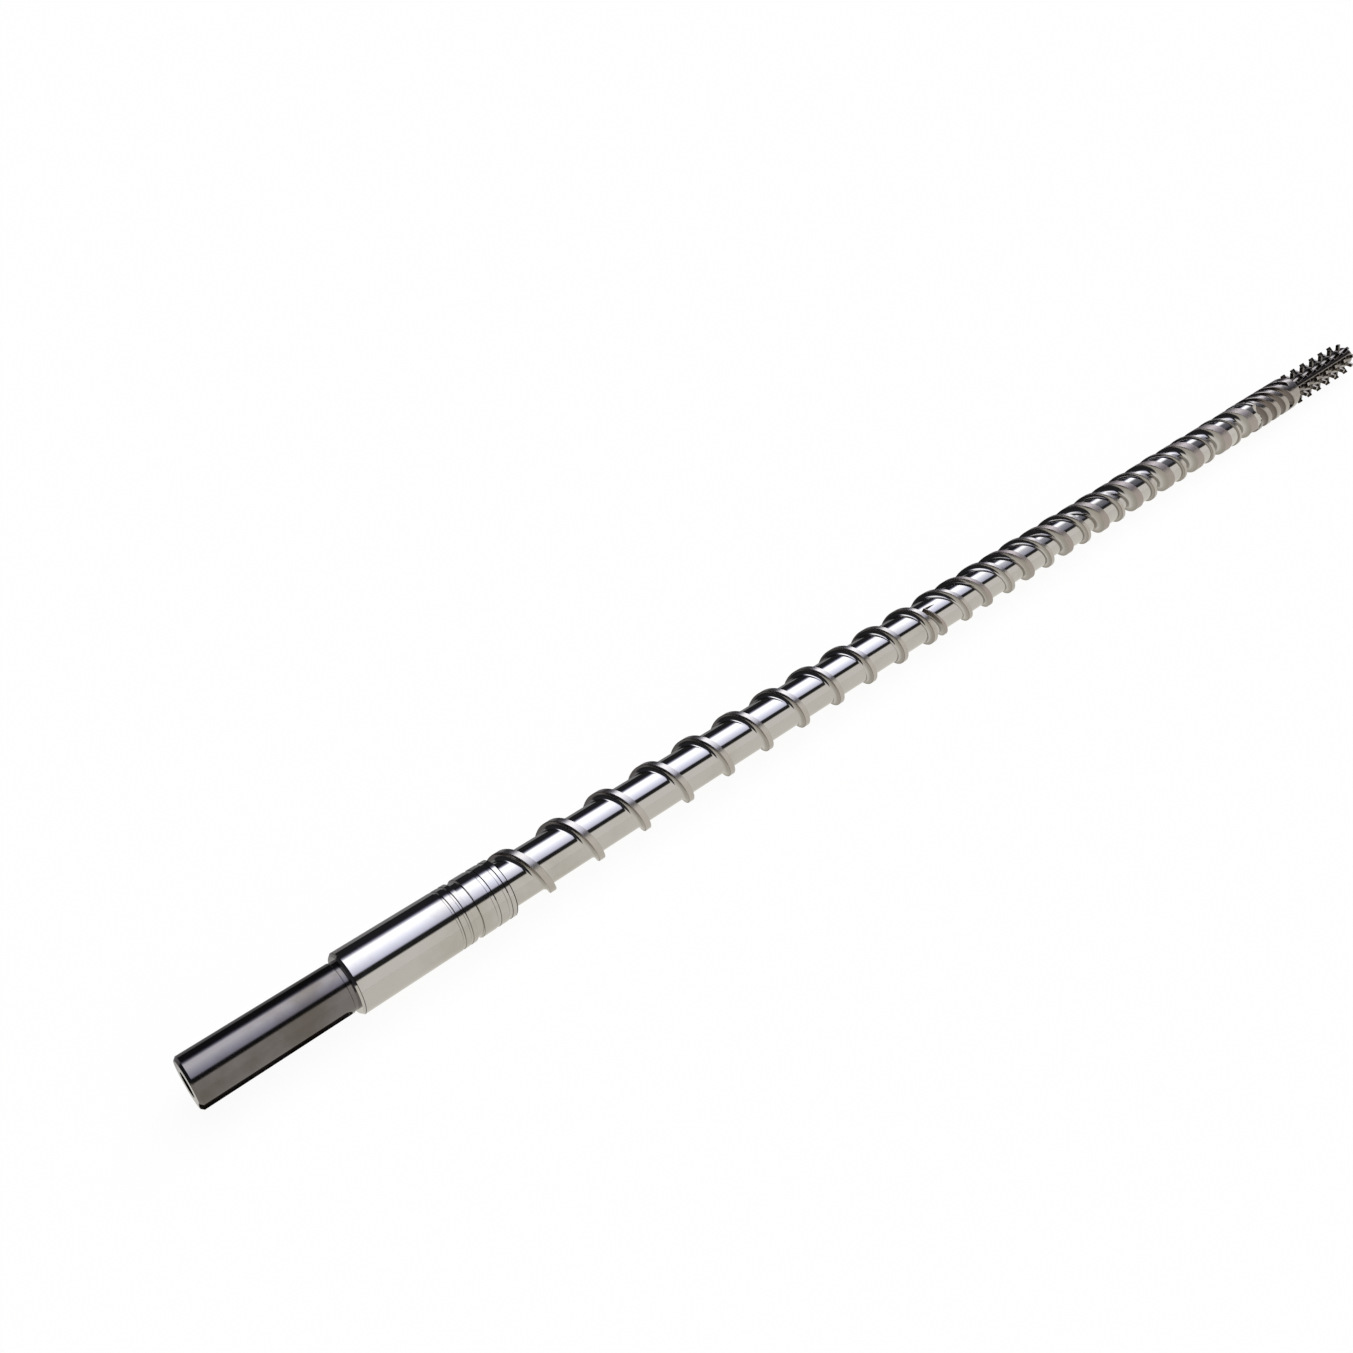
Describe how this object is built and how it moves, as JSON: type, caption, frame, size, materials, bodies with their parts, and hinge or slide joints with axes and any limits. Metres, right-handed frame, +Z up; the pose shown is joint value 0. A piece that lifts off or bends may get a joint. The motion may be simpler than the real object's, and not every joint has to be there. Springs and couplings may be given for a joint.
{
  "type": "injection moulding screw",
  "caption": "Steel plasticating screw: keyed drive shank, grooved journal, feed flight, barrier flights, fluted mixer, pin mixer and conical tip.",
  "frame": {"origin": "centre of the drive shank's end face, on the screw's axis", "axes": "+X along the screw's axis from the drive shank to the tip, +Z up as it lies on its flights"},
  "size_m": [2.5553, 0.065, 0.065],
  "materials": {
    "polished_steel": "hard chromed and polished, duller on the shank and the mixers"
  },
  "bodies": {
    "root": {"plasticating_screw": "polished_steel"}
  },
  "joints": []
}
